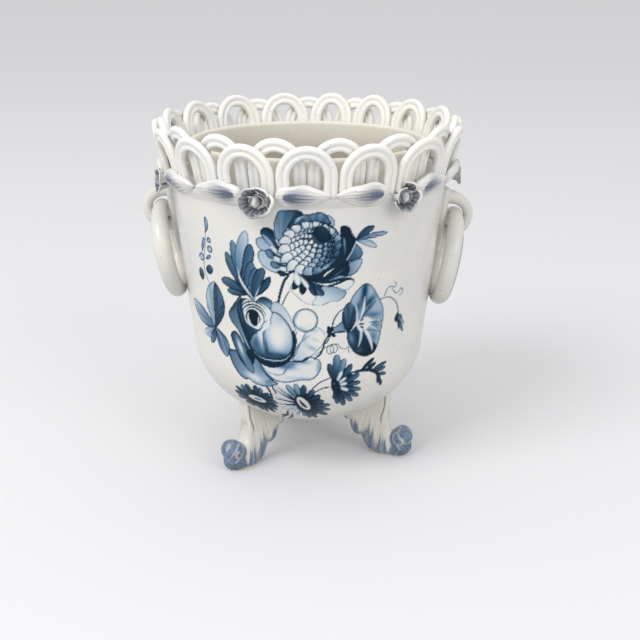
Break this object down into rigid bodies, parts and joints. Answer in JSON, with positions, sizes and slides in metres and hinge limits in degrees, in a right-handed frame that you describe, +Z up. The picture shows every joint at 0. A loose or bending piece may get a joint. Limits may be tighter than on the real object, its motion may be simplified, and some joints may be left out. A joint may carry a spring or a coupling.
{
  "type": "footed planter",
  "caption": "Bucket-shaped faience planter on scroll feet, with an openwork gallery of interlaced arches, a garland of roses and leaves, and ring handles.",
  "frame": {"origin": "on the pot's axis, level with the three soles", "axes": "+Z up along the pot's axis; -Y is the painted front; X runs through the two ring handles, with the left one at -X"},
  "size_m": [0.1711, 0.1577, 0.1822],
  "materials": {
    "body_glaze": "gloss tin glaze, white with a grey tinge",
    "gallery_glaze": "gloss tin glaze, white",
    "garland_glaze": "gloss tin glaze with blue brushwork",
    "handle_glaze": "gloss tin glaze, cream-white",
    "foot_glaze": "gloss tin glaze, white shading to blue at the fringe and toe"
  },
  "bodies": {
    "root": {"pot_body": "body_glaze", "outer_arch_01": "gallery_glaze", "inner_arch_01": "gallery_glaze", "outer_arch_02": "gallery_glaze", "inner_arch_02": "gallery_glaze", "outer_arch_03": "gallery_glaze", "inner_arch_03": "gallery_glaze", "outer_arch_04": "gallery_glaze", "inner_arch_04": "gallery_glaze", "outer_arch_05": "gallery_glaze", "inner_arch_05": "gallery_glaze", "outer_arch_06": "gallery_glaze", "inner_arch_06": "gallery_glaze", "outer_arch_07": "gallery_glaze", "inner_arch_07": "gallery_glaze", "outer_arch_08": "gallery_glaze", "inner_arch_08": "gallery_glaze", "outer_arch_09": "gallery_glaze", "inner_arch_09": "gallery_glaze", "outer_arch_10": "gallery_glaze", "inner_arch_10": "gallery_glaze", "outer_arch_11": "gallery_glaze", "inner_arch_11": "gallery_glaze", "outer_arch_12": "gallery_glaze", "inner_arch_12": "gallery_glaze", "outer_arch_13": "gallery_glaze", "inner_arch_13": "gallery_glaze", "outer_arch_14": "gallery_glaze", "inner_arch_14": "gallery_glaze", "outer_arch_15": "gallery_glaze", "inner_arch_15": "gallery_glaze", "outer_arch_16": "gallery_glaze", "inner_arch_16": "gallery_glaze", "rose_01": "garland_glaze", "leaf_pair_01": "garland_glaze", "rose_02": "garland_glaze", "leaf_pair_02": "garland_glaze", "rose_03": "garland_glaze", "leaf_pair_03": "garland_glaze", "rose_04": "garland_glaze", "leaf_pair_04": "garland_glaze", "rose_05": "garland_glaze", "leaf_pair_05": "garland_glaze", "rose_06": "garland_glaze", "leaf_pair_06": "garland_glaze", "left_handle_loop": "handle_glaze", "left_ring": "handle_glaze", "right_handle_loop": "handle_glaze", "right_ring": "handle_glaze", "front_left_foot": "foot_glaze", "front_right_foot": "foot_glaze", "back_foot": "foot_glaze"}
  },
  "joints": []
}
